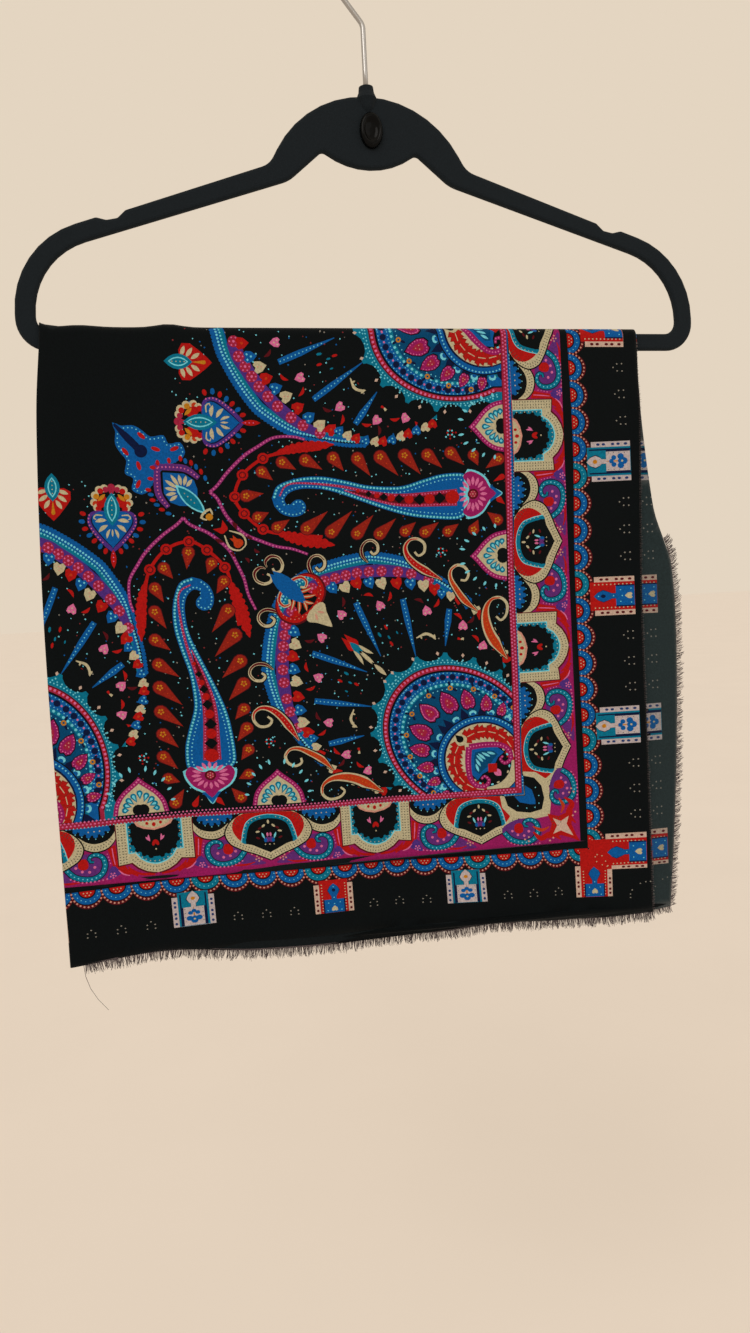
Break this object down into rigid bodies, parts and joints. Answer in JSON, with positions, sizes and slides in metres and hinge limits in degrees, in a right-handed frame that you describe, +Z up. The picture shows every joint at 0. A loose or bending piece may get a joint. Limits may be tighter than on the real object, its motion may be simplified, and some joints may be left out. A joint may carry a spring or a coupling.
{
  "type": "square scarf hung folded on a clothes hanger",
  "caption": "Square paisley-border scarf with eyelash fringe, folded in half and hung over the lower bar of a flocked clothes hanger.",
  "frame": {"origin": "inside top of the hook, where a rail or peg holds the hanger", "axes": "+Z up, +X to the right of a viewer who faces the printed front, so the viewer looks along +Y"},
  "size_m": [0.445, 0.0192, 0.6712],
  "materials": {
    "flocking": "black velvet flock on a moulded hanger",
    "hook_wire": "bright plated wire",
    "gloss_moulding": "glossy black moulding",
    "printed_cloth": "fine plain weave, printed paisley and borders on black",
    "cloth_reverse": "reverse of the print, paler and greyer",
    "fringe_thread": "short frayed threads, black with pink, tan and cream"
  },
  "bodies": {
    "root": {"hanger_body": "flocking", "hanger_hook": "hook_wire", "hanger_tongue": "gloss_moulding", "scarf_outer_front": "printed_cloth", "scarf_inner_front": "cloth_reverse", "scarf_inner_back": "cloth_reverse", "scarf_outer_back": "printed_cloth", "fringe_hem_front": "fringe_thread", "fringe_hem_back": "fringe_thread", "fringe_side_front": "fringe_thread", "fringe_side_back": "fringe_thread", "fringe_inner_front": "fringe_thread", "fringe_inner_back": "fringe_thread", "fringe_hem_inner": "fringe_thread", "fringe_loose_thread": "fringe_thread"}
  },
  "joints": []
}
